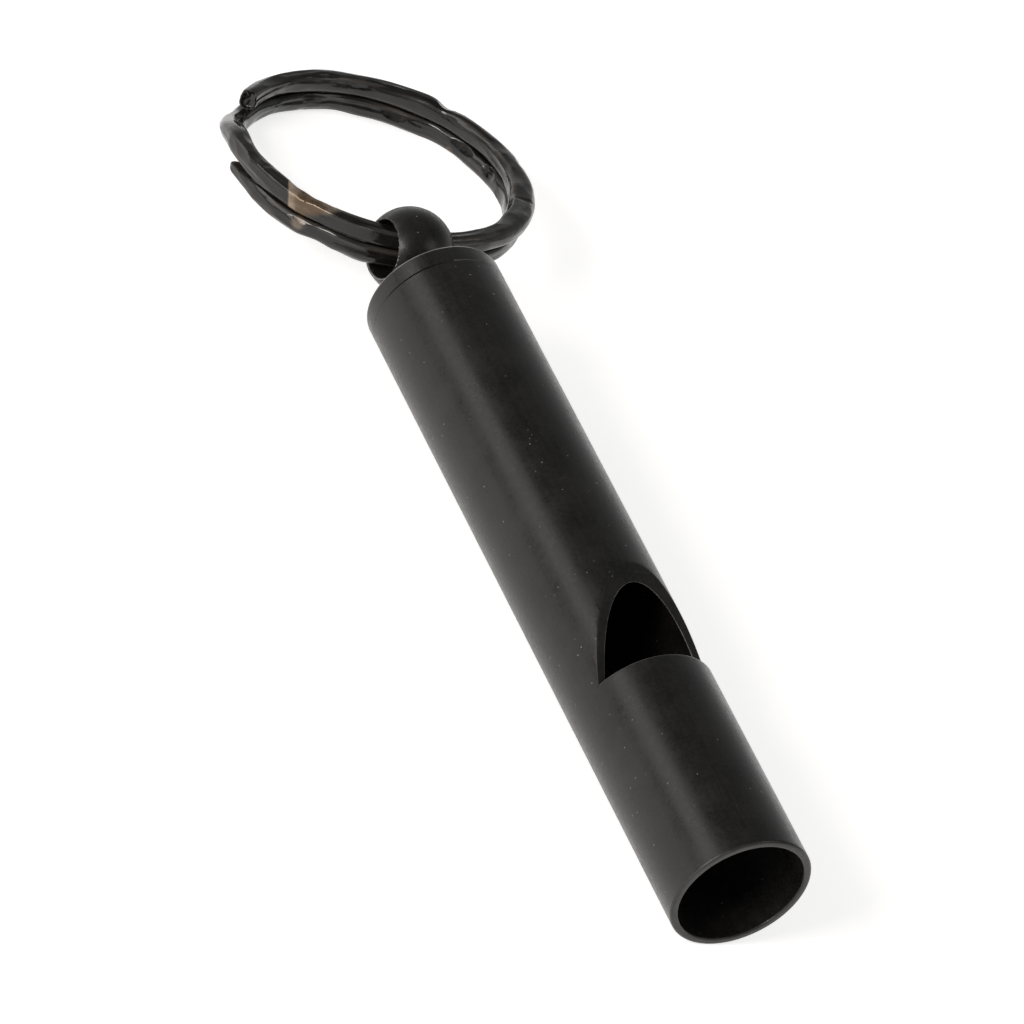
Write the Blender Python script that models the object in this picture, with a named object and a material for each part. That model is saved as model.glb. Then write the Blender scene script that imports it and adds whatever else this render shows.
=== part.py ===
"""A small tubular signal whistle on a split key ring, lying on a table with its window up.

Metres, +Z up. The tube lies along X and its mouth faces +X. The origin is the middle of the
whole object's footprint, on the surface that it lies on. The ring hangs in the eye behind
the cap and swings about the eye's axis, which runs along Y. Each piece is made round the
eye's centre, which all of them share as their origin, and so the hinge is the ring's origin.
"""

import math

import bmesh
import bpy
from mathutils import Matrix, Vector

MM = 0.001
OVERCUT = 1.0 * MM
FIT_GAP = 0.05 * MM

# The tube, and the cut that makes its window
TUBE_OD = 9.0 * MM
TUBE_WALL = 0.5 * MM
TUBE_LENGTH = 49.2 * MM
RIM_ROUNDING = 0.12 * MM
WINDOW_FROM_MOUTH = 15.2 * MM
WINDOW_DEPTH = 3.08 * MM
WINDOW_SLOPE = 0.4

# The plug that leaves the windway above its flat
PLUG_FROM_MOUTH = 6.8 * MM
WINDWAY_HEIGHT = 1.0 * MM
PLUG_CHAMFER = 0.3 * MM

# The cap, with the eye turned on it
CAP_RIM = 1.35 * MM
CAP_ROUNDING = 0.3 * MM
SPIGOT_LENGTH = 4.0 * MM
SPIGOT_CHAMFER = 0.4 * MM
NECK_RADIUS = 1.7 * MM
NECK_FILLET = 0.5 * MM
EYE_FROM_CAP = 4.14 * MM
EYE_BALL_RADIUS = 2.85 * MM
EYE_HOLE_RADIUS = 1.8 * MM
EYE_HOLE_STRAIGHT = 1.75 * MM
EYE_HOLE_FLARE = 0.35 * MM

# The split ring, by its wire and by the way it lies in the eye
RING_OD = 20.1 * MM
STRAND_WIDTH = 1.1 * MM
STRAND_HEIGHT = 1.31 * MM
STRAND_CHAMFER = 0.32 * MM
COIL_GAP = 0.04 * MM
FIRST_END = math.radians(222)
JOG_START = math.radians(323)
JOG_END = math.radians(359)
WIRE_TURN = math.radians(682)
WIRE_STEP = math.radians(5.5)
RING_REACH = 9.3 * MM
RING_SIDESTEP = 2.07 * MM
RING_RISE = 0.24 * MM
RING_ROLL = math.radians(4.3)

TURN_SEGMENTS = 64
BALL_ARC_STEPS = 12

TUBE_RADIUS = TUBE_OD / 2
BORE_RADIUS = TUBE_RADIUS - TUBE_WALL
RING_RADIUS = RING_OD / 2
RING_HEIGHT = 2 * STRAND_HEIGHT + COIL_GAP


def clear_scene():
    for obj in list(bpy.data.objects):
        bpy.data.objects.remove(obj, do_unlink=True)


def material(name, colour, roughness, metallic):
    made = bpy.data.materials.new(name)
    made.use_nodes = True
    shader = made.node_tree.nodes["Principled BSDF"]
    shader.inputs["Base Color"].default_value = (*colour, 1.0)
    shader.inputs["Roughness"].default_value = roughness
    shader.inputs["Metallic"].default_value = metallic
    return made


def add_object(name, bm, finish):
    """Turns the bmesh into a smooth-shaded object in the scene."""
    bmesh.ops.remove_doubles(bm, verts=bm.verts, dist=0.001 * MM)
    bmesh.ops.recalc_face_normals(bm, faces=bm.faces)
    mesh = bpy.data.meshes.new(name)
    bm.to_mesh(mesh)
    bm.free()
    mesh.shade_smooth()
    mesh.set_sharp_from_angle(angle=math.radians(30))
    obj = bpy.data.objects.new(name, mesh)
    bpy.context.scene.collection.objects.link(obj)
    if finish:
        mesh.materials.append(finish)
    return obj


def turned(profile, closed, axis=Vector((1, 0, 0)), out=Vector((0, 0, 1))):
    """Spins (along, radius) points about an axis through the origin."""
    bm = bmesh.new()
    points = [bm.verts.new(along * axis + radius * out) for along, radius in profile]
    pairs = list(zip(points, points[1:]))
    if closed:
        pairs.append((points[-1], points[0]))
    edges = [bm.edges.new(pair) for pair in pairs]
    bmesh.ops.spin(
        bm,
        geom=points + edges,
        cent=(0, 0, 0),
        axis=axis,
        angle=math.tau,
        steps=TURN_SEGMENTS,
        use_merge=True,
    )
    return bm


def cut_away(obj, cutter):
    cutter.hide_render = True
    cutter.display_type = "WIRE"
    boolean = obj.modifiers.new("cut", "BOOLEAN")
    boolean.operation = "DIFFERENCE"
    boolean.solver = "EXACT"
    boolean.object = cutter


def window_cutter(mouth):
    """A prism with an upright wall on the mouth's side and a ramp that rises away from it."""
    wall_x = mouth - WINDOW_FROM_MOUTH
    low_z = TUBE_RADIUS - WINDOW_DEPTH
    top_z = TUBE_RADIUS + OVERCUT
    ramp_x = wall_x - (top_z - low_z) / WINDOW_SLOPE
    half_width = TUBE_RADIUS + OVERCUT
    bm = bmesh.new()
    outline = [(wall_x, low_z), (wall_x, top_z), (ramp_x, top_z)]
    face = bm.faces.new([bm.verts.new((x, -half_width, z)) for x, z in outline])
    grown = bmesh.ops.extrude_face_region(bm, geom=[face])["geom"]
    moved = [v for v in grown if isinstance(v, bmesh.types.BMVert)]
    bmesh.ops.translate(bm, verts=moved, vec=(0, 2 * half_width, 0))
    return add_object("window_cutter", bm, None)


def whistle_tube(mouth, finish):
    back = mouth - TUBE_LENGTH
    profile = [
        (back, BORE_RADIUS),
        (back, TUBE_RADIUS - RIM_ROUNDING),
        (back + RIM_ROUNDING, TUBE_RADIUS),
        (mouth - RIM_ROUNDING, TUBE_RADIUS),
        (mouth, TUBE_RADIUS - RIM_ROUNDING),
        (mouth, BORE_RADIUS + RIM_ROUNDING),
        (mouth - RIM_ROUNDING, BORE_RADIUS),
    ]
    tube = add_object("whistle_tube", turned(profile, closed=True), finish)
    cutter = window_cutter(mouth)
    cut_away(tube, cutter)
    return tube, cutter


def windway_plug(mouth, finish):
    """A round plug with one flat, level with the window's upright wall."""
    front = mouth - PLUG_FROM_MOUTH
    back = mouth - WINDOW_FROM_MOUTH
    radius = BORE_RADIUS - FIT_GAP
    profile = [
        (back, 0),
        (back, radius),
        (front - PLUG_CHAMFER, radius),
        (front, radius - PLUG_CHAMFER),
        (front, 0),
    ]
    bm = turned(profile, closed=False)
    bmesh.ops.remove_doubles(bm, verts=bm.verts, dist=0.001 * MM)
    cut = bmesh.ops.bisect_plane(
        bm,
        geom=bm.verts[:] + bm.edges[:] + bm.faces[:],
        plane_co=(0, 0, BORE_RADIUS - WINDWAY_HEIGHT),
        plane_no=(0, 0, 1),
        clear_outer=True,
    )["geom_cut"]
    rim = [e for e in cut if isinstance(e, bmesh.types.BMEdge)]
    bmesh.ops.edgeloop_fill(bm, edges=rim)
    return add_object("windway_plug", bm, finish)


def arc(centre, radius, start, end, steps):
    """(along, radius) points on an arc about a centre, by its angles in degrees."""
    angles = [math.radians(start + (end - start) * i / steps) for i in range(steps + 1)]
    return [
        (centre[0] + radius * math.cos(a), centre[1] + radius * math.sin(a)) for a in angles
    ]


def eye_hole_cutter():
    """A drill along Y that flares at both of the hole's mouths."""
    mouth_y = EYE_BALL_RADIUS + OVERCUT
    flare = EYE_HOLE_RADIUS + EYE_HOLE_FLARE * (mouth_y - EYE_HOLE_STRAIGHT) / OVERCUT
    profile = [
        (-mouth_y, 0),
        (-mouth_y, flare),
        (-EYE_HOLE_STRAIGHT, EYE_HOLE_RADIUS),
        (EYE_HOLE_STRAIGHT, EYE_HOLE_RADIUS),
        (mouth_y, flare),
        (mouth_y, 0),
    ]
    drill = turned(profile, closed=False, axis=Vector((0, 1, 0)))
    return add_object("eye_hole_cutter", drill, None)


def end_cap(mouth, finish):
    """Spigot, rim, neck and ball, turned in one piece and cross-drilled for the ring."""
    seat = mouth - TUBE_LENGTH - FIT_GAP
    face = seat - CAP_RIM
    spigot_radius = BORE_RADIUS - FIT_GAP
    spigot_end = seat + SPIGOT_LENGTH
    neck_meets_ball = math.degrees(math.asin(NECK_RADIUS / EYE_BALL_RADIUS))
    profile = [
        (spigot_end, 0),
        (spigot_end, spigot_radius - SPIGOT_CHAMFER),
        (spigot_end - SPIGOT_CHAMFER, spigot_radius),
        (seat, spigot_radius),
        (seat, TUBE_RADIUS - RIM_ROUNDING),
        (seat - RIM_ROUNDING, TUBE_RADIUS),
    ]
    profile += arc(
        (face + CAP_ROUNDING, TUBE_RADIUS - CAP_ROUNDING), CAP_ROUNDING, 90, 180, 4
    )
    profile += arc(
        (face - NECK_FILLET, NECK_RADIUS + NECK_FILLET), NECK_FILLET, 0, -90, 3
    )
    profile += arc((0, 0), EYE_BALL_RADIUS, neck_meets_ball, 180, BALL_ARC_STEPS)
    cap = add_object("end_cap", turned(profile, closed=False), finish)
    cutter = eye_hole_cutter()
    cut_away(cap, cutter)
    return cap, cutter


def strand_height(turn):
    """Height of the wire over the ring's middle plane: one coil, a smooth jog, the other coil."""
    level = (STRAND_HEIGHT + COIL_GAP) / 2
    part = min(max((turn - JOG_START) / (JOG_END - JOG_START), 0), 1)
    return level * (1 - 2 * part * part * (3 - 2 * part))


def ring_pose(drop):
    """The ring's middle in its hinge's frame, at a given drop of its far side."""
    place = Matrix.Translation((-RING_REACH, RING_SIDESTEP, RING_RISE))
    roll = Matrix.Rotation(RING_ROLL, 4, "X")
    return Matrix.Rotation(-drop, 4, "Y") @ place @ roll


def lowest_point(drop):
    """Height over the hinge of the lowest point of the ring's lower rim."""
    pose = ring_pose(drop)
    upright = pose.to_3x3() @ Vector((0, 0, 1))
    lean = math.sqrt(1 - upright.z**2)
    rim_radius = RING_RADIUS - STRAND_CHAMFER
    return pose.translation.z - rim_radius * lean - RING_HEIGHT / 2 * upright.z


def resting_drop():
    """The angle at which the ring's far side touches the table, found by halving."""
    low = 0.0
    high = math.radians(30)
    for _ in range(40):
        middle = (low + high) / 2
        if lowest_point(middle) > -TUBE_RADIUS:
            low = middle
        else:
            high = middle
    return low


def split_ring(drop, finish):
    """One strand of wire in two coils, extruded and turned step by step round the ring."""
    inner = RING_RADIUS - STRAND_WIDTH
    half = STRAND_HEIGHT / 2
    c = STRAND_CHAMFER
    section = [
        (inner + c, -half),
        (RING_RADIUS - c, -half),
        (RING_RADIUS, c - half),
        (RING_RADIUS, half - c),
        (RING_RADIUS - c, half),
        (inner + c, half),
        (inner, half - c),
        (inner, c - half),
    ]
    bm = bmesh.new()
    start = Matrix.Rotation(FIRST_END, 4, "Z") @ Matrix.Translation((0, 0, strand_height(0)))
    end_face = bm.faces.new([bm.verts.new(start @ Vector((x, 0, z))) for x, z in section])
    bm.faces.new([bm.verts.new(v.co) for v in reversed(end_face.verts)])
    steps = round(WIRE_TURN / WIRE_STEP)
    turn = WIRE_TURN / steps
    for i in range(steps):
        grown = bmesh.ops.extrude_discrete_faces(bm, faces=[end_face])
        end_face = grown["faces"][0]
        climb = strand_height((i + 1) * turn) - strand_height(i * turn)
        move = Matrix.Translation((0, 0, climb)) @ Matrix.Rotation(-turn, 4, "Z")
        bmesh.ops.transform(bm, matrix=move, verts=end_face.verts)
    bm.transform(ring_pose(drop))
    return add_object("split_ring", bm, finish)


def footprint_middle(drop, mouth):
    """Middle of the footprint, seen from the hinge: the tube's mouth to the ring's far rim."""
    pose = ring_pose(drop)
    upright = pose.to_3x3() @ Vector((0, 0, 1))
    band = RING_HEIGHT / 2 - STRAND_CHAMFER
    reach = RING_RADIUS * math.sqrt(1 - upright.x**2) + band * abs(upright.x)
    far_rim = pose.translation.x - reach
    return Vector(((mouth + far_rim) / 2, pose.translation.y, -TUBE_RADIUS))


def main():
    clear_scene()
    black_anodised = material("black_anodised", (0.022, 0.022, 0.023), 0.5, 0.6)
    black_plastic = material("black_plastic", (0.015, 0.015, 0.016), 0.6, 0.0)
    black_plated = material("black_plated", (0.02, 0.019, 0.018), 0.25, 0.8)

    drop = resting_drop()
    mouth_from_eye = EYE_FROM_CAP + CAP_RIM + FIT_GAP + TUBE_LENGTH
    middle = footprint_middle(drop, mouth_from_eye)
    eye = bpy.data.objects.new("eye_centre", None)
    eye.location = -middle
    bpy.context.scene.collection.objects.link(eye)
    pieces = [
        *whistle_tube(mouth_from_eye, black_anodised),
        windway_plug(mouth_from_eye, black_plastic),
        *end_cap(mouth_from_eye, black_anodised),
        split_ring(drop, black_plated),
    ]
    for piece in pieces:
        piece.parent = eye


main()
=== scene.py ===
import math

import bmesh
import bpy
from mathutils import Matrix, Vector, noise


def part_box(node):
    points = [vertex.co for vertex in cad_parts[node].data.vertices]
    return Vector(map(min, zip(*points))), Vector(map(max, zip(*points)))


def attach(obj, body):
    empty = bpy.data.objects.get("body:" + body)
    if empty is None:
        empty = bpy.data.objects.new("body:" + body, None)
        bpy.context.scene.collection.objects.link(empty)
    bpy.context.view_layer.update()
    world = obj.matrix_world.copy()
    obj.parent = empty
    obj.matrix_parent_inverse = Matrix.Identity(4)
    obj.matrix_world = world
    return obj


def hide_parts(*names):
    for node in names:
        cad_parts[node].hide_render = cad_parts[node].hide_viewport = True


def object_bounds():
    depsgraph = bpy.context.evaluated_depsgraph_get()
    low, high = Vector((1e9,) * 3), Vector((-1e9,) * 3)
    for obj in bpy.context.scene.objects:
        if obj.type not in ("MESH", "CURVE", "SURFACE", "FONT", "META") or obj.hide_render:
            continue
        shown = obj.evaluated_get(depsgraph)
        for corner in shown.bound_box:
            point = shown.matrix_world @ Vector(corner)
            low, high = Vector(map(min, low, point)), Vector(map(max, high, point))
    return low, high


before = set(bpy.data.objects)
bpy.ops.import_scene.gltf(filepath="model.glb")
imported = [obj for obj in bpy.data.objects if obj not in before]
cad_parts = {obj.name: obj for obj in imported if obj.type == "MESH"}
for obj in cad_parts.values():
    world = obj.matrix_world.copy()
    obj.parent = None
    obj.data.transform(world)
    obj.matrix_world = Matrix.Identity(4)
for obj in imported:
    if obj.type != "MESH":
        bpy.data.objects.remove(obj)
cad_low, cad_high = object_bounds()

# ---- Camera ------------------------------------------------------------------------------
# A long lens looks down past the whistle's mouth towards the ring. The camera is leant over
# on its side, so the tube falls steeply across the view.
MM = 0.001
AIM = Vector((5.634, -4.539, 4.5)) * MM
CAMERA_TURN = math.radians(46.97)
CAMERA_HEIGHT = math.radians(34.59)
CAMERA_LEAN = math.radians(31.53)
CAMERA_DISTANCE = 453.26 * MM
CAMERA_LENS = 260.91
CAMERA_SENSOR = 36.0
NEAREST = 10 * MM

camera_data = bpy.data.cameras.new("camera")
camera_data.lens = CAMERA_LENS
camera_data.sensor_width = CAMERA_SENSOR
camera_data.clip_start = NEAREST
camera = bpy.data.objects.new("camera", camera_data)
bpy.context.scene.collection.objects.link(camera)
bpy.context.scene.camera = camera
turned_up = Matrix.Rotation(math.pi / 2 - CAMERA_HEIGHT, 4, "X")
looking = Matrix.Rotation(CAMERA_TURN, 4, "Z") @ turned_up
step_back = Matrix.Translation((0, 0, CAMERA_DISTANCE))
leant = Matrix.Rotation(CAMERA_LEAN, 4, "Z")
camera.matrix_world = Matrix.Translation(AIM) @ looking @ step_back @ leant

# ---- Studio ------------------------------------------------------------------------------
# White paper lies on the table under the whistle. Two soft boxes stand on one side of it and
# a weaker one on the other, and the room is dim overhead, so that black metal shows a
# highlight between dark bands.
PAPER_RADIUS = 2.5
PAPER_STEPS = 96
PAPER_DROP = 0.02 * MM
PAPER_WHITE = (0.82, 0.82, 0.82, 1)
PAPER_ROUGHNESS = 0.9
PAPER_SPECULAR = 0.1
PAPER_GLOW = 0.68
ROOM_SIDES = (0.62, 0.62, 0.62, 1)
ROOM_OVERHEAD = (0.16, 0.16, 0.16, 1)
OVERHEAD_FROM = 0.75
LAMP_COLOUR = (1.0, 0.95, 0.90)
SOFT_BOXES = [
    # name, azimuth and height in degrees, distance, width, depth, power
    ("key_box", 243, 26, 0.95, 0.90, 0.36, 2.1),
    ("side_box", 283, 27, 1.0, 0.35, 0.35, 5.0),
    ("fill_box", 40, 50, 1.3, 0.6, 0.6, 1.5),
]

bpy.context.scene.view_settings.view_transform = "Standard"

bm = bmesh.new()
bmesh.ops.create_circle(bm, cap_ends=True, segments=PAPER_STEPS, radius=PAPER_RADIUS)
bmesh.ops.translate(bm, verts=bm.verts, vec=(0, 0, -PAPER_DROP))
paper_mesh = bpy.data.meshes.new("paper")
bm.to_mesh(paper_mesh)
bm.free()
paper = bpy.data.objects.new("paper", paper_mesh)
bpy.context.scene.collection.objects.link(paper)
paper_finish = bpy.data.materials.new("white_paper")
paper_finish.use_nodes = True
paper_shader = paper_finish.node_tree.nodes["Principled BSDF"]
paper_shader.inputs["Base Color"].default_value = PAPER_WHITE
paper_shader.inputs["Roughness"].default_value = PAPER_ROUGHNESS
paper_shader.inputs["Specular IOR Level"].default_value = PAPER_SPECULAR
paper_shader.inputs["Emission Color"].default_value = (1, 1, 1, 1)
paper_shader.inputs["Emission Strength"].default_value = PAPER_GLOW
paper_mesh.materials.append(paper_finish)

for name, turn, height, distance, width, depth, power in SOFT_BOXES:
    lamp = bpy.data.lights.new(name, "AREA")
    lamp.shape = "RECTANGLE"
    lamp.size = width
    lamp.size_y = depth
    lamp.energy = power
    lamp.color = LAMP_COLOUR
    box = bpy.data.objects.new(name, lamp)
    box.visible_camera = False
    bpy.context.scene.collection.objects.link(box)
    aimed = Matrix.Rotation(math.radians(turn + 90), 4, "Z")
    aimed = aimed @ Matrix.Rotation(math.radians(90 - height), 4, "X")
    box.matrix_world = aimed @ Matrix.Translation((0, 0, distance))

room = bpy.data.worlds.new("room")
bpy.context.scene.world = room
room.use_nodes = True
room_nodes = room.node_tree.nodes
room_way = room_nodes.new("ShaderNodeTexCoord")
room_up = room_nodes.new("ShaderNodeSeparateXYZ")
room_shade = room_nodes.new("ShaderNodeValToRGB")
room_shade.color_ramp.elements[0].position = 0.0
room_shade.color_ramp.elements[0].color = ROOM_SIDES
room_shade.color_ramp.elements[1].position = OVERHEAD_FROM
room_shade.color_ramp.elements[1].color = ROOM_OVERHEAD
room.node_tree.links.new(room_way.outputs["Generated"], room_up.inputs[0])
room.node_tree.links.new(room_up.outputs["Z"], room_shade.inputs["Fac"])
room.node_tree.links.new(room_shade.outputs["Color"], room_nodes["Background"].inputs["Color"])

# ---- Whistle tube ------------------------------------------------------------------------
# Drawn aluminium tube, cut to length, with the window milled through its upper wall. The
# edges are broken by hand, and the whole is anodised in a matt black.
MERGE = 0.0005 * MM
TUBE_STEPS = 144
MOUTH_ROUNDING = 0.18 * MM
BORE_ROUNDING = 0.12 * MM
BACK_ROUNDING = 0.008 * MM
TUBE_WALL = 0.5 * MM
WINDOW_FROM_MOUTH = 15.2 * MM
WINDOW_DEPTH = 3.08 * MM
WINDOW_SLOPE = 0.4
WINDOW_TURN = math.radians(-2.5)
WINDOW_LINE_REACH = 7.12 * MM
WINDOW_LINE_RISE = 0.03 * MM
WINDOW_LINE_HALF = 0.035 * MM
WINDOW_EDGE = 0.06 * MM
WINDOW_EDGE_LEAST = 11
WINDOW_REACH = 9.0 * MM
WINDOW_RINGS = 8
PAST_WALL = 0.2 * MM
OVERCUT = 1.0 * MM
CREASE = math.radians(38)
MOUTH_WEAR_AND_HIGHLIGHT = 0.08
WALL_WEAR_AND_HIGHLIGHT = 0.35
RAMP_INSIDE_WEAR_AND_HIGHLIGHT = 0.7
RAMP_OUTSIDE_WEAR_AND_HIGHLIGHT = 0.03


def arc(middle, radius, start, end, steps):
    """(along, radius) points of a rounding, between two angles in degrees."""
    angles = [math.radians(start + (end - start) * i / steps) for i in range(steps + 1)]
    return [(middle[0] + radius * math.cos(a), middle[1] + radius * math.sin(a)) for a in angles]


def turned(profile, middle, axis, out, steps):
    """Turns (along, radius) points, measured from the middle, about an axis through it."""
    bm = bmesh.new()
    points = [bm.verts.new(middle + along * axis + radius * out) for along, radius in profile]
    edges = [bm.edges.new(pair) for pair in zip(points, points[1:])]
    bmesh.ops.spin(
        bm,
        geom=points + edges,
        cent=middle,
        axis=axis,
        angle=math.tau,
        steps=steps,
        use_merge=True,
    )
    bmesh.ops.remove_doubles(bm, verts=bm.verts, dist=MERGE)
    bmesh.ops.recalc_face_normals(bm, faces=bm.faces)
    return bm


def new_piece(name, bm, finish=None):
    """Puts a finished shape in the scene, smooth, with creases only at its real edges."""
    mesh = bpy.data.meshes.new(name)
    bm.to_mesh(mesh)
    bm.free()
    mesh.shade_smooth()
    mesh.set_sharp_from_angle(angle=CREASE)
    piece = bpy.data.objects.new(name, mesh)
    bpy.context.scene.collection.objects.link(piece)
    if finish:
        mesh.materials.append(finish)
    return piece


def cut_with(piece, cutter):
    """Takes the cutter's shape out of the piece, and returns the cut shape."""
    cut = piece.modifiers.new("cut", "BOOLEAN")
    cut.operation = "DIFFERENCE"
    cut.solver = "EXACT"
    cut.object = cutter
    graph = bpy.context.evaluated_depsgraph_get()
    shape = bmesh.new()
    shape.from_mesh(piece.evaluated_get(graph).to_mesh())
    bpy.data.objects.remove(piece)
    bpy.data.objects.remove(cutter)
    bmesh.ops.remove_doubles(shape, verts=shape.verts, dist=4 * MERGE)
    return shape


def worn_and_highlit_layer(shape):
    """The layer that says how far each face is lightened, from 0 to 1: partly worn finish, partly
    painted edge highlight.
    """
    return shape.faces.layers.float.get("worn_and_highlit") or shape.faces.layers.float.new("worn_and_highlit")


def break_edges(shape, width, chosen, steps, least=30, wear_and_highlight=lambda point: 1.0):
    """Rounds the outward edges that turn by the least degrees, where chosen(middle) is true,
    and lightens their roundings by the share given for their middle: partly worn finish, partly
    painted highlight."""
    worn_and_highlit = worn_and_highlit_layer(shape)
    sharp = [
        e
        for e in shape.edges
        if len(e.link_faces) == 2
        and e.is_convex
        and e.calc_face_angle(0) > math.radians(least)
        and chosen((e.verts[0].co + e.verts[1].co) / 2)
    ]
    rounding = bmesh.ops.bevel(
        shape,
        geom=sharp,
        offset=width,
        offset_type="OFFSET",
        segments=steps,
        profile=0.5,
        affect="EDGES",
        clamp_overlap=False,
        material=-1,
    )
    for face in rounding["faces"]:
        face[worn_and_highlit] = wear_and_highlight(face.calc_center_median())


def wear_and_highlight_between(shape, low_x, high_x, share):
    """Lightens the faces between two places along the tube: partly worn finish, partly painted
    highlight.
    """
    worn_and_highlit = worn_and_highlit_layer(shape)
    for face in shape.faces:
        if low_x < face.calc_center_median().x < high_x:
            face[worn_and_highlit] = share


def even_shading(piece):
    """Lets the large faces set the shading, so that narrow roundings don't bend it."""
    shading = piece.modifiers.new("shading", "WEIGHTED_NORMAL")
    shading.mode = "FACE_AREA"
    shading.keep_sharp = True


MIX = {"data_type": "RGBA", "clamp_factor": True}


class Socket:
    """An output of a finish's node. Arithmetic adds Math nodes; node() adds any other."""

    def __init__(self, output):
        self.output = output

    def node(self, kind, inputs, settings=None, result=0):
        """Adds a node with these inputs, which are numbers or links, and gives its result."""
        tree = self.output.id_data
        made = tree.nodes.new(kind)
        for name, value in (settings or {}).items():
            setattr(made, name, value)
        for place, value in inputs.items():
            if isinstance(value, Socket):
                tree.links.new(value.output, made.inputs[place])
            else:
                made.inputs[place].default_value = value
        return Socket(made.outputs[result])

    def math(self, operation, *others):
        inputs = {i: value for i, value in enumerate((self, *others))}
        return self.node("ShaderNodeMath", inputs, {"operation": operation})

    def __add__(self, other):
        return self.math("ADD", other)

    def __mul__(self, other):
        return self.math("MULTIPLY", other)

    def __sub__(self, other):
        return self.math("SUBTRACT", other)

    def __rsub__(self, other):
        return self.node("ShaderNodeMath", {0: other, 1: self}, {"operation": "SUBTRACT"})

    __radd__ = __add__
    __rmul__ = __mul__

    def between(self, low, high):
        """0 below low and 1 above high, with a soft step between them."""
        limits = {"Value": self, "From Min": low, "From Max": high}
        return self.node("ShaderNodeMapRange", limits, {"interpolation_type": "SMOOTHSTEP"})

    def stretched(self, scale, turn=(0, 0, 0)):
        """This position, scaled and then turned."""
        return self.node("ShaderNodeMapping", {"Vector": self, "Rotation": turn, "Scale": scale})

    def attribute(self, name):
        """The number that the mesh keeps under this name."""
        return self.node("ShaderNodeAttribute", {}, {"attribute_name": name}, "Fac")

    def cloud(self, scale, detail=3.0, roughness=0.5):
        """Soft noise on this position, about 0.5."""
        inputs = {"Vector": self, "Scale": scale, "Detail": detail, "Roughness": roughness}
        return self.node("ShaderNodeTexNoise", inputs)

    def tint(self, low, high):
        """A colour between low and high, which are colours or links, by this value."""
        low, high = (c if isinstance(c, Socket) else (*c, 1) for c in (low, high))
        return self.node("ShaderNodeMix", {0: self, 6: low, 7: high}, MIX, 2)


def new_finish(name, ior, specular):
    """A finish with its shader, and the position that its patterns follow."""
    finish = bpy.data.materials.new(name)
    finish.use_nodes = True
    shader = finish.node_tree.nodes["Principled BSDF"]
    shader.inputs["IOR"].default_value = ior
    shader.inputs["Specular IOR Level"].default_value = specular
    position = Socket(finish.node_tree.nodes.new("ShaderNodeTexCoord").outputs["Object"])
    return finish, shader, position


def feed(shader, **sources):
    """Links each source to the shader's input of that name."""
    for name, source in sources.items():
        socket = shader.inputs[name.replace("_", " ")]
        shader.id_data.links.new(source.output, socket)


def specks(position, spacing, radius, share):
    """1 in small round dots: one in each cell of a loose grid, in the given share of the cells."""
    cells = {"Vector": position, "Scale": 1 / spacing}
    near = position.node("ShaderNodeTexVoronoi", cells)
    which = position.node("ShaderNodeTexVoronoi", cells, result="Color")
    pick = which.node("ShaderNodeSeparateColor", {0: which}, result="Red")
    size = which.node("ShaderNodeSeparateColor", {0: which}, result="Green")
    reach = (size * 0.6 + 0.4) * (radius / spacing)
    dot = 1 - (near - reach * 0.6).between(0.0, 0.4 * radius / spacing)
    return dot * pick.math("LESS_THAN", share)


# Anodising: its blacks where it is deep and thin, the grey of worn edges and painted edge
# highlights, dust, and how close the patterns are, per metre.
DEEP_BLACK = (0.0048, 0.0046, 0.0045)
THIN_BLACK = (0.0150, 0.0142, 0.0135)
BARE_METAL_AND_HIGHLIGHT = (0.24, 0.232, 0.22)
DUST = (0.24, 0.225, 0.2)
BLAST_GRAIN = 3600
DRAWING_LINES = (60, 2600, 2600)
MOTTLE = 420
ANODISED_ROUGHNESS = 0.32
BLAST_DEPTH = 0.02 * MM


def anodised(name, pattern_turn):
    """Matt black anodising: a fine bead-blasted grain, faint drawing lines and stray dust."""
    finish, shader, position = new_finish(name, ior=1.5, specular=0.36)
    grain = position.cloud(BLAST_GRAIN, 4.0, 0.8)
    drawn = position.stretched(DRAWING_LINES, pattern_turn).cloud(1.0, 3.0, 0.6)
    mottle = position.cloud(MOTTLE, 4.0, 0.6)
    fine = specks(position, spacing=0.7 * MM, radius=0.06 * MM, share=0.8)
    skewed = position.stretched((1.0, 0.6, 1.2))
    coarse = specks(skewed, spacing=1.4 * MM, radius=0.1 * MM, share=0.6)
    dirt = fine.math("MAXIMUM", coarse)
    # Worn edges and painted edge highlights: the faces marked in the mesh turn a lighter grey.
    worn_and_highlit = position.attribute("worn_and_highlit") * (0.25 + mottle.between(0.38, 0.62) * 0.75)
    tone = (mottle * 0.5 + drawn * 0.2 + grain * 0.3).between(0.3, 0.7)
    black = tone.tint(DEEP_BLACK, THIN_BLACK)
    grey = worn_and_highlit.tint(black, BARE_METAL_AND_HIGHLIGHT)
    colour = (dirt * 0.75).tint(grey, DUST)
    rough = ANODISED_ROUGHNESS + (grain - 0.5) * 0.45 + (drawn - 0.5) * 0.12
    rough = rough + (mottle - 0.5) * 0.2 + dirt * 0.3
    relief = grain * 0.6 + drawn * 0.3 + dirt * 1.2
    raised = {"Height": relief, "Strength": 0.5, "Distance": BLAST_DEPTH}
    bump = relief.node("ShaderNodeBump", raised)
    feed(shader, Base_Color=colour, Roughness=rough, Normal=bump)
    return finish


tube_low, tube_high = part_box("whistle_tube")
axis_point = Vector((0, (tube_low.y + tube_high.y) / 2, (tube_low.z + tube_high.z) / 2))
tube_radius = (tube_high.z - tube_low.z) / 2
bore_radius = tube_radius - TUBE_WALL
mouth = tube_high.x
back = tube_low.x
window_wall = mouth - WINDOW_FROM_MOUTH
ALONG = Vector((1, 0, 0))
UP = Vector((0, 0, 1))

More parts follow.
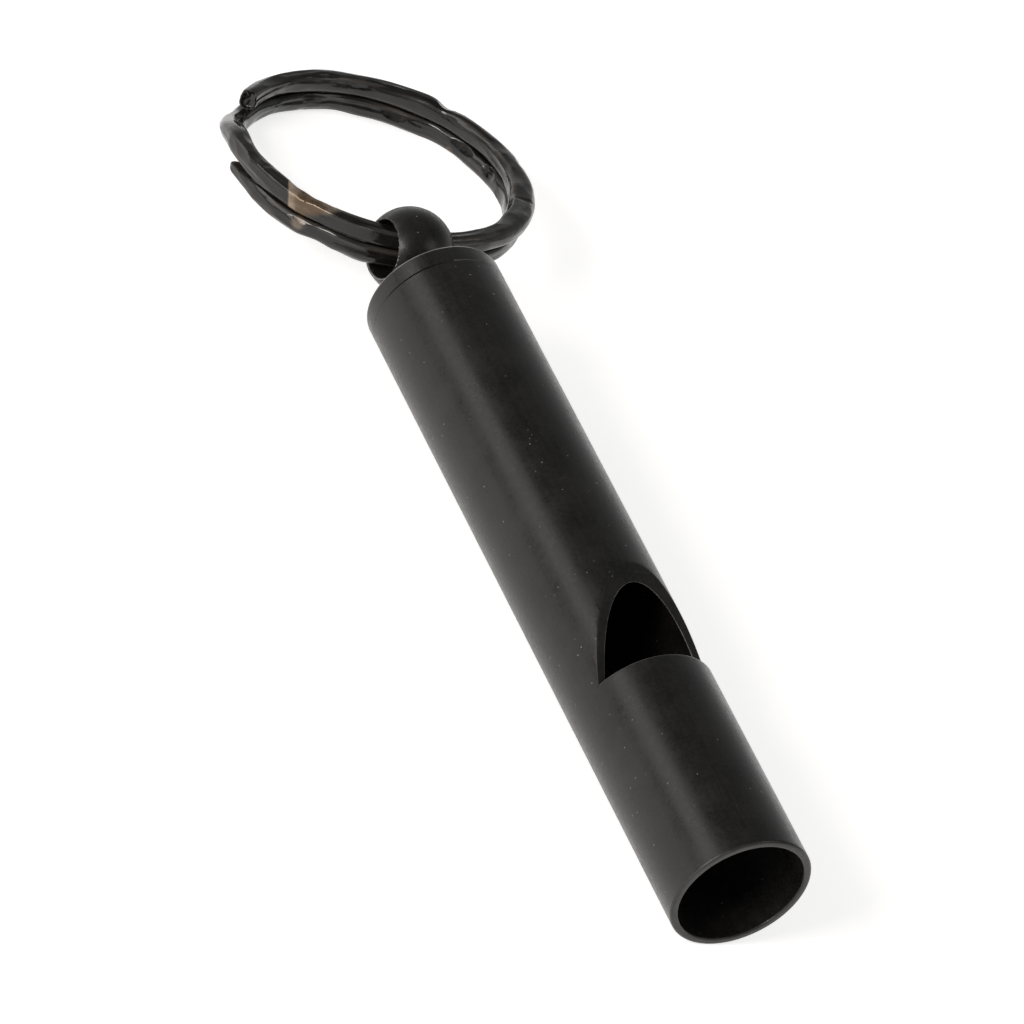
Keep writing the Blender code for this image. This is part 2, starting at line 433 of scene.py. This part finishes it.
window_start = window_wall - WINDOW_REACH
rings = [window_start + i * WINDOW_REACH / WINDOW_RINGS for i in range(WINDOW_RINGS)]
rings += [window_wall + PAST_WALL, window_wall + MM]
back_corner = (back + BACK_ROUNDING, tube_radius - BACK_ROUNDING)
mouth_corner = (mouth - MOUTH_ROUNDING, tube_radius - MOUTH_ROUNDING)
bore_corner = (mouth - BORE_ROUNDING, bore_radius + BORE_ROUNDING)
tube_profile = arc(back_corner, BACK_ROUNDING, 180, 90, 3)
tube_profile += [(x, tube_radius) for x in rings]
tube_profile += arc(mouth_corner, MOUTH_ROUNDING, 90, 0, 6)
tube_profile += arc(bore_corner, BORE_ROUNDING, 0, -90, 5)
tube_profile += [(x, bore_radius) for x in reversed(rings)]
tube_profile += [(back, bore_radius), tube_profile[0]]
blank = turned(tube_profile, axis_point, ALONG, UP, TUBE_STEPS)
# The mouth's rim is lightened a little: partly worn finish, partly painted highlight.
wear_and_highlight_between(blank, mouth - 0.7 * MOUTH_ROUNDING, mouth + MM, MOUTH_WEAR_AND_HIGHLIGHT)
tube = new_piece("tube_blank", blank)

ramp_low = axis_point.z + tube_radius - WINDOW_DEPTH
over_z = axis_point.z + tube_radius + OVERCUT
over_x = window_wall - (over_z - ramp_low) / WINDOW_SLOPE
line_x = window_wall - WINDOW_LINE_REACH
line_z = ramp_low + WINDOW_LINE_REACH * WINDOW_SLOPE
# The mill cuts the upright wall and the long ramp, and leaves a fine line across the ramp.
outline = [
    (window_wall, ramp_low),
    (window_wall, over_z),
    (over_x, over_z),
    (line_x - WINDOW_LINE_HALF, line_z + WINDOW_LINE_HALF * WINDOW_SLOPE),
    (line_x, line_z + WINDOW_LINE_RISE),
    (line_x + WINDOW_LINE_HALF, line_z - WINDOW_LINE_HALF * WINDOW_SLOPE),
]
half_width = tube_radius + OVERCUT
bm = bmesh.new()
side = bm.faces.new([bm.verts.new((x, axis_point.y - half_width, z)) for x, z in outline])
grown = bmesh.ops.extrude_face_region(bm, geom=[side])["geom"]
far_side = [v for v in grown if isinstance(v, bmesh.types.BMVert)]
bmesh.ops.translate(bm, verts=far_side, vec=(0, 2 * half_width, 0))
tilt = Matrix.Rotation(WINDOW_TURN, 3, "X")
bmesh.ops.rotate(bm, verts=bm.verts, cent=axis_point, matrix=tilt)
bmesh.ops.recalc_face_normals(bm, faces=bm.faces)
milled = cut_with(tube, new_piece("window_mill", bm))


def at_window(point):
    """True at the milled edges, which are in the tube's upper half."""
    return window_start < point.x < window_wall + MM and point.z > axis_point.z


def window_wear_and_highlight(point):
    """The wall's edge and the bore's edge of the ramp are lightened, its outer edge hardly is:
    worn finish and painted highlight lines.
    """
    if point.x > window_wall - WINDOW_EDGE:
        return WALL_WEAR_AND_HIGHLIGHT
    from_axis = math.hypot(point.y - axis_point.y, point.z - axis_point.z)
    inside = from_axis < tube_radius - TUBE_WALL / 2
    return RAMP_INSIDE_WEAR_AND_HIGHLIGHT if inside else RAMP_OUTSIDE_WEAR_AND_HIGHLIGHT


# The window's edges are rounded and lightened: partly worn finish, partly painted highlight lines.
break_edges(milled, WINDOW_EDGE, at_window, 3, WINDOW_EDGE_LEAST, window_wear_and_highlight)
black_tube = anodised("black_anodised_tube", (0, 0, 0))
tube = new_piece("tube_shell", milled, black_tube)
even_shading(tube)
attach(tube, "whistle")
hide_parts("whistle_tube")

# ---- Windway plug ------------------------------------------------------------------------
# Moulded black plastic, pressed into the bore level with the window's wall. The flat on top
# leaves the slit that the breath goes through.
PLUG_CHAMFER = 0.3 * MM
PLUG_EDGE = 0.06 * MM
PLASTIC_DARK = (0.0060, 0.0060, 0.0063)
PLASTIC_PALE = (0.010, 0.0095, 0.0095)
PLASTIC_ROUGHNESS = 0.5
MOULD_GRAIN = 6000
FLOW_LINES = (120, 700, 700)
MOULD_DEPTH = 0.015 * MM

plug_low, plug_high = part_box("windway_plug")
plug_radius = axis_point.z - plug_low.z
plug_front = plug_high.x
plug_profile = [
    (plug_low.x, 0),
    (plug_low.x, plug_radius),
    (plug_front - PLUG_CHAMFER, plug_radius),
    (plug_front, plug_radius - PLUG_CHAMFER),
    (plug_front, 0),
]
bm = turned(plug_profile, axis_point, ALONG, UP, TUBE_STEPS)
flat_cut = bmesh.ops.bisect_plane(
    bm,
    geom=bm.verts[:] + bm.edges[:] + bm.faces[:],
    plane_co=(0, 0, plug_high.z),
    plane_no=(0, 0, 1),
    clear_outer=True,
)["geom_cut"]
bmesh.ops.edgeloop_fill(bm, edges=[e for e in flat_cut if isinstance(e, bmesh.types.BMEdge)])
bmesh.ops.recalc_face_normals(bm, faces=bm.faces)
break_edges(bm, PLUG_EDGE, lambda point: True, 2)

plug_finish, shader, position = new_finish("moulded_black", ior=1.48, specular=0.4)
mould_grain = position.cloud(MOULD_GRAIN, 3.0, 0.6)
flow = position.stretched(FLOW_LINES).cloud(1.0, 4.0, 0.55)
plug_colour = flow.between(0.35, 0.65).tint(PLASTIC_DARK, PLASTIC_PALE)
plug_rough = PLASTIC_ROUGHNESS + (mould_grain - 0.5) * 0.2 + (flow - 0.5) * 0.15
plug_bump = flow.node(
    "ShaderNodeBump",
    {"Height": mould_grain + flow * 0.5, "Strength": 0.3, "Distance": MOULD_DEPTH},
)
feed(shader, Base_Color=plug_colour, Roughness=plug_rough, Normal=plug_bump)
plug = new_piece("plug_body", bm, plug_finish)
even_shading(plug)
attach(plug, "whistle")
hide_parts("windway_plug")

# ---- End cap and eye ---------------------------------------------------------------------
# Turned from aluminium bar in one piece: a spigot that is pressed into the tube, a short
# rim, a neck and a ball. The ball is cross-drilled for the ring, and the hole's mouths are
# smoothed, so that they don't cut the wire's plating.
CAP_STEPS = 160
DRILL_STEPS = 96
SEAT_ROUNDING = 0.008 * MM
CAP_ROUNDING = 0.24 * MM
SPIGOT_CHAMFER = 0.4 * MM
CAP_RIM = 1.35 * MM
FIT_GAP = 0.05 * MM
EYE_FROM_CAP = 4.14 * MM
BALL_RADIUS = 2.85 * MM
NECK_RADIUS = 1.7 * MM
NECK_FILLET = 0.5 * MM
HOLE_RADIUS = 1.8 * MM
HOLE_STRAIGHT = 1.75 * MM
HOLE_FLARE = 0.35
HOLE_EDGE = 0.14 * MM
SEAT_OPENING = 0.085 * MM
SEAT_CLOSED = 0.003 * MM
SEAT_OPENS = math.radians(38)
SEAT_OPEN_HALF = math.radians(30)
SEAT_HIGHLIGHT_SPAN = (math.radians(74), math.radians(100))
SEAT_EDGE = 0.04 * MM
SEAT_PAINTED_HIGHLIGHT = 0.3
RIM_PAINTED_HIGHLIGHT = (0.18, 0.75)

spigot_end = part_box("end_cap")[1].x
seat = back - FIT_GAP
face = seat - CAP_RIM
eye = Vector((face - EYE_FROM_CAP, axis_point.y, axis_point.z))
spigot_radius = bore_radius - FIT_GAP
neck_angle = math.degrees(math.asin(NECK_RADIUS / BALL_RADIUS))
cap_profile = [
    (spigot_end, 0),
    (spigot_end, spigot_radius - SPIGOT_CHAMFER),
    (spigot_end - SPIGOT_CHAMFER, spigot_radius),
    (seat, spigot_radius),
]
seat_corner = (seat - SEAT_ROUNDING, tube_radius - SEAT_ROUNDING)
face_corner = (face + CAP_ROUNDING, tube_radius - CAP_ROUNDING)
neck_corner = (face - NECK_FILLET, NECK_RADIUS + NECK_FILLET)
cap_profile += arc(seat_corner, SEAT_ROUNDING, 0, 90, 3)
cap_profile += [(seat - SEAT_EDGE, tube_radius)]
cap_profile += arc(face_corner, CAP_ROUNDING, 90, 180, 8)
cap_profile += arc(neck_corner, NECK_FILLET, 0, -90, 7)
cap_profile += arc((eye.x, 0), BALL_RADIUS, neck_angle, 180, 56)
blank = turned(cap_profile, axis_point, ALONG, UP, CAP_STEPS)
# The cap's front edge rounding is lightened all round: a painted highlight line.
rim_low, rim_high = (face + part * CAP_ROUNDING for part in RIM_PAINTED_HIGHLIGHT)
wear_and_highlight_between(blank, rim_low, rim_high, 1.0)


def round_tube(point):
    """The angle round the tube's axis, from its side (-y) towards its top."""
    return math.atan2(point.z - axis_point.z, axis_point.y - point.y)


# The rim bears on the tube all round, but for one stretch where a thin gap is left.
for vert in blank.verts:
    from_axis = math.hypot(vert.co.y - axis_point.y, vert.co.z - axis_point.z)
    if from_axis > spigot_radius + MERGE and abs(vert.co.x - seat) < 1.5 * SEAT_ROUNDING:
        apart = math.cos(round_tube(vert.co) - SEAT_OPENS) - math.cos(SEAT_OPEN_HALF)
        opening = math.sqrt(max(apart, 0) / (1 - math.cos(SEAT_OPEN_HALF)))
        vert.co.x += FIT_GAP - SEAT_CLOSED - SEAT_OPENING * opening
# One stretch of the seat's edge is lightened: a painted highlight line.
worn_and_highlit = worn_and_highlit_layer(blank)
for facet in blank.faces:
    middle = facet.calc_center_median()
    if middle.x > seat - SEAT_EDGE and SEAT_HIGHLIGHT_SPAN[0] < round_tube(middle) < SEAT_HIGHLIGHT_SPAN[1]:
        facet[worn_and_highlit] = SEAT_PAINTED_HIGHLIGHT
cap = new_piece("cap_blank", blank)

drill_reach = BALL_RADIUS + OVERCUT
drill_flare = HOLE_RADIUS + HOLE_FLARE * (drill_reach - HOLE_STRAIGHT)
drill_profile = [
    (-drill_reach, 0),
    (-drill_reach, drill_flare),
    (-HOLE_STRAIGHT, HOLE_RADIUS),
    (HOLE_STRAIGHT, HOLE_RADIUS),
    (drill_reach, drill_flare),
    (drill_reach, 0),
]
drill_shape = turned(drill_profile, eye, Vector((0, 1, 0)), UP, DRILL_STEPS)
drill = new_piece("eye_drill", drill_shape)
drilled = cut_with(cap, drill)
# The rounded edges of the hole's mouths are lightened fully: partly worn finish, partly painted
# highlight.
break_edges(drilled, HOLE_EDGE, lambda point: point.x < face - NECK_FILLET, 5)

# The pattern is turned, so that it doesn't run on from the tube across the seam.
black_cap = anodised("black_anodised_cap", (0, math.pi / 2, 0))
cap = new_piece("cap_and_eye", drilled, black_cap)
even_shading(cap)
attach(cap, "whistle")
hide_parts("end_cap")

# ---- Split ring --------------------------------------------------------------------------
# Soft steel wire of a rounded square section, wound into two coils that lie on each other.
# It was hammered all round, which left shallow lens-shaped flats, and black plated after
# that. The plating is worn through to a brass underplate where keys rub.
RING_OD = 20.1 * MM
STRAND_WIDTH = 1.1 * MM
STRAND_HEIGHT = 1.31 * MM
COIL_GAP = 0.04 * MM
FIRST_END = 222.0
JOG_START = 323.0
JOG_END = 359.0
WIRE_TURN = 682.0
WIRE_STEPS = 100
WIRE_CUTS = 15
SECTION_STEPS = 48
SECTION_SQUARENESS = 2.8
RING_REACH = 9.3 * MM
RING_SIDESTEP = 2.07 * MM
RING_RISE = 0.24 * MM
RING_ROLL = math.radians(4.3)
RING_DROP = math.radians(9.933)
OPEN_PITCH = 3 * MM
TIP_LENGTH = 4.0
TIP_REACH = 16.0
TIP_CURL = 0.16 * MM
CUT_LIP = 0.1 * MM
CUT_HOLLOW = 0.18 * MM
RIDGE_LENGTH = 5.0 * MM
RIDGE_WIDTH = 0.5 * MM
RIDGE_DEPTH = 0.2
MARK_REACH = 1.6
PATCH_START = math.radians(287.4)
PATCH_END = math.radians(270.9)
DEEP_PLATING = (0.0040, 0.0034, 0.0030)
THIN_PLATING = (0.0135, 0.0114, 0.0100)
POLISHED_PLATING_AND_HIGHLIGHT = (0.085, 0.076, 0.069)
DULL_BRASS = (0.11, 0.072, 0.040)
BRIGHT_BRASS = (0.44, 0.350, 0.270)
PLATING_ROUGHNESS = 0.17
DENT_DEPTH = 0.13 * MM

section_middle = RING_OD / 2 - STRAND_WIDTH / 2
ring_pose = (
    Matrix.Translation(eye)
    @ Matrix.Rotation(-RING_DROP, 4, "Y")
    @ Matrix.Translation((-RING_REACH, RING_SIDESTEP, RING_RISE))
    @ Matrix.Rotation(RING_ROLL, 4, "X")
)

# Hammer marks: place round the ring in degrees, coil, side of the wire that was struck
# (0 outer, 90 top, 180 inner, 270 bottom), half length in degrees, and depth in mm.
HAMMER_MARKS = [
    (216, "upper", 60, 5, 0.08),
    (205, "upper", 100, 9, 0.10),
    (195, "upper", 45, 7, 0.13),
    (178, "upper", 128, 10, 0.19),
    (177, "upper", 50, 11, 0.09),
    (158, "upper", 120, 6, 0.15),
    (152, "upper", 62, 8, 0.12),
    (140, "upper", 20, 8, 0.09),
    (141, "upper", 105, 6, 0.10),
    (127, "upper", 70, 5, 0.20),
    (113, "upper", 128, 8, 0.13),
    (108, "upper", 45, 9, 0.09),
    (97, "upper", 95, 6, 0.10),
    (85, "upper", 50, 7, 0.15),
    (75, "upper", 105, 8, 0.11),
    (66, "upper", 70, 6, 0.10),
    (57, "upper", 85, 2, 0.10),
    (49, "upper", 60, 6, 0.13),
    (36, "upper", 100, 8, 0.11),
    (26, "upper", 62, 7, 0.10),
    (14, "upper", 120, 8, 0.08),
    (333, "upper", 45, 18, 0.11),
    (330, "upper", 0, 16, 0.07),
    (322, "upper", 128, 12, 0.09),
    (312, "upper", 88, 5, 0.09),
    (303, "upper", 62, 7, 0.13),
    (296, "upper", 115, 6, 0.11),
    (288, "upper", 40, 9, 0.14),
    (281, "upper", 82, 2.5, 0.08),
    (274, "upper", 70, 6, 0.13),
    (268, "upper", 15, 8, 0.15),
    (261, "upper", 105, 6, 0.12),
    (250, "lower", 60, 9, 0.07),
    (203, "lower", 150, 9, 0.12),
    (200, "lower", 195, 12, 0.10),
    (182, "lower", 168, 8, 0.14),
    (165, "lower", 205, 10, 0.12),
    (163, "lower", 150, 9, 0.10),
    (145, "lower", 165, 7, 0.16),
    (128, "lower", 190, 7, 0.12),
    (112, "lower", 160, 9, 0.20),
    (93, "lower", 165, 6, 0.18),
    (98, "lower", 225, 12, 0.10),
    (76, "lower", 185, 8, 0.12),
    (45, "lower", 10, 9, 0.12),
    (32, "lower", 40, 7, 0.10),
    (333, "lower", 15, 16, 0.10),
    (318, "lower", 340, 9, 0.12),
    (303, "lower", 25, 8, 0.14),
    (290, "lower", 345, 7, 0.11),
    (277, "lower", 20, 7, 0.11),
    (266, "lower", 0, 5, 0.08),
]

# How far the hammering spread the wire's outer, top, inner and bottom sides past the plain
# section, in mm, at places along the wire in degrees of winding.
SPREAD = [
    (0, 0.00, 0.04, 0.06, 0.06),
    (14, 0.02, 0.03, 0.06, 0.00),
    (30, 0.04, 0.04, 0.00, 0.00),
    (45, 0.10, 0.10, 0.00, 0.00),
    (58, 0.08, 0.04, -0.05, 0.00),
    (72, 0.12, 0.12, 0.05, 0.00),
    (88, 0.13, 0.12, 0.00, 0.00),
    (96, 0.00, -0.06, -0.04, 0.00),
    (104, 0.08, 0.06, 0.06, 0.00),
    (120, 0.05, 0.02, 0.04, 0.00),
    (138, 0.15, 0.04, 0.16, 0.00),
    (154, 0.30, 0.04, 0.28, 0.00),
    (165, 0.38, -0.04, 0.28, -0.03),
    (178, 0.42, 0.04, 0.16, 0.00),
    (190, 0.38, 0.00, 0.06, 0.00),
    (202, 0.28, 0.00, 0.00, 0.00),
    (213, 0.08, 0.00, 0.00, 0.00),
    (250, 0.00, 0.00, 0.00, 0.00),
    (262, 0.03, 0.00, 0.05, 0.00),
    (271, 0.00, 0.00, -0.10, 0.00),
    (276, 0.00, 0.00, -0.26, 0.00),
    (282, 0.02, 0.00, -0.06, 0.00),
    (295, 0.03, 0.05, 0.10, 0.00),
    (312, 0.05, 0.00, 0.10, 0.00),
    (326, 0.24, 0.04, 0.10, 0.00),
    (338, 0.40, 0.00, 0.06, 0.00),
    (348, 0.40, 0.00, 0.10, 0.00),
    (358, 0.12, 0.00, 0.18, 0.00),
    (370, 0.05, 0.00, 0.14, 0.04),
    (388, 0.00, 0.00, 0.10, 0.05),
    (400, 0.00, 0.00, 0.00, 0.00),
    (412, 0.00, 0.00, -0.10, -0.05),
    (425, 0.00, 0.00, 0.05, 0.05),
    (440, 0.00, 0.00, 0.12, 0.08),
    (455, 0.00, 0.00, -0.10, 0.00),
    (465, 0.00, 0.00, 0.00, 0.00),
    (478, 0.00, 0.00, 0.18, 0.08),
    (495, 0.00, 0.00, 0.14, 0.08),
    (515, 0.00, 0.00, 0.15, 0.08),
    (528, 0.00, 0.00, 0.10, 0.00),
    (545, 0.00, 0.00, 0.00, 0.00),
    (600, 0.00, 0.00, 0.00, 0.00),
    (613, 0.16, 0.00, 0.00, 0.10),
    (622, 0.05, 0.00, 0.00, 0.00),
    (630, -0.12, 0.00, 0.00, -0.10),
    (638, 0.00, 0.00, 0.00, 0.00),
    (650, 0.00, 0.00, 0.00, 0.00),
    (660, -0.08, -0.05, 0.00, -0.10),
    (668, -0.12, -0.18, 0.00, -0.20),
    (675, -0.12, -0.32, 0.00, -0.22),
    (682, -0.12, -0.36, 0.00, -0.24),
]


def spread_at(turn):
    """The outer, top, inner and bottom spread of the wire there, eased between the places."""
    for a, b in zip(SPREAD, SPREAD[1:]):
        if turn <= b[0]:
            part = (turn - a[0]) / (b[0] - a[0])
            eased = part * part * (3 - 2 * part)
            return [(p + (q - p) * eased) * MM for p, q in zip(a[1:], b[1:])]
    return [side * MM for side in SPREAD[-1][1:]]


def spread_section(offset, spread):
    """A point of the section, moved out or in with the side of the wire that it is on."""
    outer, top, inner, bottom = spread
    wide = 1 + (outer if offset.x > 0 else inner) * 2 / STRAND_WIDTH
    tall = 1 + (top if offset.y > 0 else bottom) * 2 / STRAND_HEIGHT
    return Vector((offset.x * wide, offset.y * tall))


def wire_height(turn):
    """Height over the ring's middle plane: the upper coil, a smooth jog, the lower coil."""
    level = (STRAND_HEIGHT + COIL_GAP) / 2
    part = min(max((turn - JOG_START) / (JOG_END - JOG_START), 0), 1)
    return level * (1 - 2 * part * part * (3 - 2 * part))


def wire_turn(place, coil):
    """How far along the wire, in degrees of winding, a place on a coil is."""
    turn = (FIRST_END - place) % 360
    if coil == "lower" and turn < JOG_START:
        turn += 360
    return turn


def struck(turn, offset, marks):
    """Moves a point of the section down on to the flats that the hammer left there."""
    for middle, way, half_length, depth in marks:
        part = (turn - middle) / half_length
        height = STRAND_HEIGHT / 2 * abs(way.y) ** 1.3 + STRAND_WIDTH / 2 * abs(way.x) ** 1.3
        over = offset.dot(way) - height + depth * MM * (1 - part * part)
        if over > 0:
            offset = offset - way * over
    return offset


def ridged(along, across, upright):
    """A point of the section, drawn in between the uneven ridges that run along the wire."""
    way = Vector((along / RIDGE_LENGTH, across / RIDGE_WIDTH, upright / RIDGE_WIDTH))
    return Vector((across, upright)) * (1 + RIDGE_DEPTH * (0.15 - abs(noise.noise(way))))


def rounded_square(angle):
    """A point of the wire's section: radially outwards, and up."""
    c, s = math.cos(angle), math.sin(angle)
    power = SECTION_SQUARENESS
    reach = (abs(c) ** power + abs(s) ** power) ** (-1 / power)
    return Vector((c * reach * STRAND_WIDTH / 2, s * reach * STRAND_HEIGHT / 2))


def bluntness(turn):
    """1 along the wire, falling in a rounded tip at its second end."""
    left = min((WIRE_TURN - turn) / TIP_LENGTH, 1)
    return max(math.sqrt(1 - (1 - left) ** 2), 0.05)


marks = [
    (
        wire_turn(place, coil),
        Vector((math.cos(math.radians(side)), math.sin(math.radians(side)))),
        half_length,
        depth,
    )
    for place, coil, side, half_length, depth in HAMMER_MARKS
]

bm = bmesh.new()
across = bm.verts.layers.float.new("across")
upright = bm.verts.layers.float.new("upright")
along = bm.verts.layers.float.new("along")
loop = []
for i in range(SECTION_STEPS):
    p = rounded_square(math.tau * i / SECTION_STEPS)
    loop.append(bm.verts.new((section_middle + p.x, 0, p.y)))
    loop[-1][across] = p.x
    loop[-1][upright] = p.y
loop_edges = [bm.edges.new((a, b)) for a, b in zip(loop, loop[1:] + loop[:1])]
bmesh.ops.spin(
    bm,
    geom=loop + loop_edges,
    cent=(0, 0, 0),
    axis=(0, 0, 1),
    dvec=(0, 0, OPEN_PITCH),
    angle=-math.radians(WIRE_TURN),
    steps=WIRE_STEPS,
)
lengthwise = [e for e in bm.edges if abs(e.verts[0].co.z - e.verts[1].co.z) > OPEN_PITCH / 2]
bmesh.ops.subdivide_edges(bm, edges=lengthwise, cuts=WIRE_CUTS)
stations = WIRE_STEPS * (WIRE_CUTS + 1)
turns = [WIRE_TURN * i / stations for i in range(stations + 1)]
spreads = [spread_at(turn) for turn in turns]
near_marks = [[m for m in marks if abs(m[0] - turn) < MARK_REACH * m[2]] for turn in turns]
for vert in bm.verts:
    station = round((vert.co.z - vert[upright]) / OPEN_PITCH * (WIRE_CUTS + 1))
    turn = turns[station]
    vert[along] = math.radians(turn) * section_middle
    offset = ridged(vert[along], vert[across], vert[upright])
    offset = struck(turn, offset, near_marks[station])
    offset = spread_section(offset, spreads[station]) * bluntness(turn)
    curl = TIP_CURL * min(max((turn - WIRE_TURN) / TIP_REACH + 1, 0), 1) ** 2
    reach = section_middle + offset.x + curl
    place = math.radians(FIRST_END - turn)
    vert.co = (reach * math.cos(place), reach * math.sin(place), wire_height(turn) + offset.y)
ends = bmesh.ops.holes_fill(bm, edges=bm.edges, sides=SECTION_STEPS)["faces"]
bmesh.ops.recalc_face_normals(bm, faces=bm.faces)
cut_end = [f for f in ends if f.verts[0][along] == 0]
for inwards, sunk in ((CUT_LIP, 0), (CUT_LIP / 2, CUT_HOLLOW), (CUT_LIP, CUT_HOLLOW / 3)):
    bmesh.ops.inset_region(
        bm,
        faces=cut_end,
        thickness=inwards,
        depth=-sunk,
        use_even_offset=True,
    )
bm.transform(ring_pose)
for vert in bm.verts:
    vert.co.x = max(vert.co.x, cad_low.x)
    vert.co.y = min(max(vert.co.y, cad_low.y), cad_high.y)
    vert.co.z = max(vert.co.z, cad_low.z)


def ring_point(place, coil, radius, height):
    """A point on the ring in the scene, from its place in degrees, radius and height."""
    a = math.radians(place)
    level = wire_height(0 if coil == "upper" else WIRE_TURN)
    return ring_pose @ Vector((radius * math.cos(a), radius * math.sin(a), level + height))


plating, shader, position = new_finish("black_plated_steel", ior=1.5, specular=0.5)
across = position.attribute("across")
upright = position.attribute("upright")
along = position.attribute("along")


def on_wire(stretch):
    """A position that runs with the wire, stretched out along it."""
    parts = {"X": along * (1 / stretch), "Y": across, "Z": upright}
    return along.node("ShaderNodeCombineXYZ", parts)


drawn = on_wire(16).cloud(3000, 1.0, 0.4)
dents = on_wire(2.0).cloud(950, 2.0, 0.45)
grain = position.cloud(6500, 2.0, 0.6)
clouds = position.cloud(800, 4.0, 0.6)
wear_spots = [
    (ring_point(118, "upper", 8.7 * MM, 0.6 * MM), 0.4 * MM),
    (ring_point(118, "lower", 9.0 * MM, -0.4 * MM), 0.35 * MM),
    (ring_point(303.5, "lower", 10.05 * MM, 0.1 * MM), 0.6 * MM),
]
# The big worn patch: sharp at one end, where a slanting line crosses the wire, and fading out
# at the other.
starts_at = PATCH_START * section_middle
fades_at = PATCH_END * section_middle
uneven = (clouds - 0.5) * (0.5 * MM)
start_line = along + across * 0.83 - upright * 0.33 + uneven
starts = 1 - start_line.between(starts_at - 0.1 * MM, starts_at + 0.1 * MM)
down = across * 0.5 - upright + uneven * 2
fades = (along - down * 1.27).between(fades_at - 0.5 * MM, fades_at + 0.5 * MM)
facing = (upright + across * 0.9).between(-0.5 * MM, -0.2 * MM)
worn = starts * fades * facing
for middle, reach in wear_spots:
    ends = {0: position, 1: middle}
    gap = position.node("ShaderNodeVectorMath", ends, {"operation": "DISTANCE"}, 1)
    spot = 1 - (gap + (clouds - 0.5) * (1.6 * reach)).between(0.3 * reach, 1.1 * reach)
    worn = worn.math("MAXIMUM", spot * 0.5)
black = (dents * 0.6 + clouds * 0.4).between(0.3, 0.7).tint(DEEP_PLATING, THIN_PLATING)
brass = (clouds * 0.4 + dents * 0.6).between(0.38, 0.62).tint(DULL_BRASS, BRIGHT_BRASS)
# The wire's corners are lighter along the drawing streaks: partly polished plating, partly painted
# highlight.
sideways = across.math("ABSOLUTE") * (2 / STRAND_WIDTH)
corner = sideways + upright.math("ABSOLUTE") * (2 / STRAND_HEIGHT)
polished_and_highlit = corner.between(1.4, 1.56) * drawn.between(0.45, 0.62) * 0.5
plating_with_edge_highlights = polished_and_highlit.tint(black, POLISHED_PLATING_AND_HIGHLIGHT)
colour = (worn * 0.9).tint(plating_with_edge_highlights, brass)
rough = PLATING_ROUGHNESS + (drawn - 0.5) * 0.1 + (clouds - 0.5) * 0.25
rough = rough + (grain - 0.5) * 0.1 + worn * 0.12
relief = drawn * 0.22 + dents * 1.1 + grain * 0.03
raised = {"Height": relief, "Strength": 0.8, "Distance": DENT_DEPTH}
bump = relief.node("ShaderNodeBump", raised)
feed(shader, Base_Color=colour, Roughness=rough, Normal=bump, Metallic=worn * 0.35)
ring = new_piece("hammered_ring", bm, plating)
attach(ring, "key_ring")
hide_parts("split_ring")
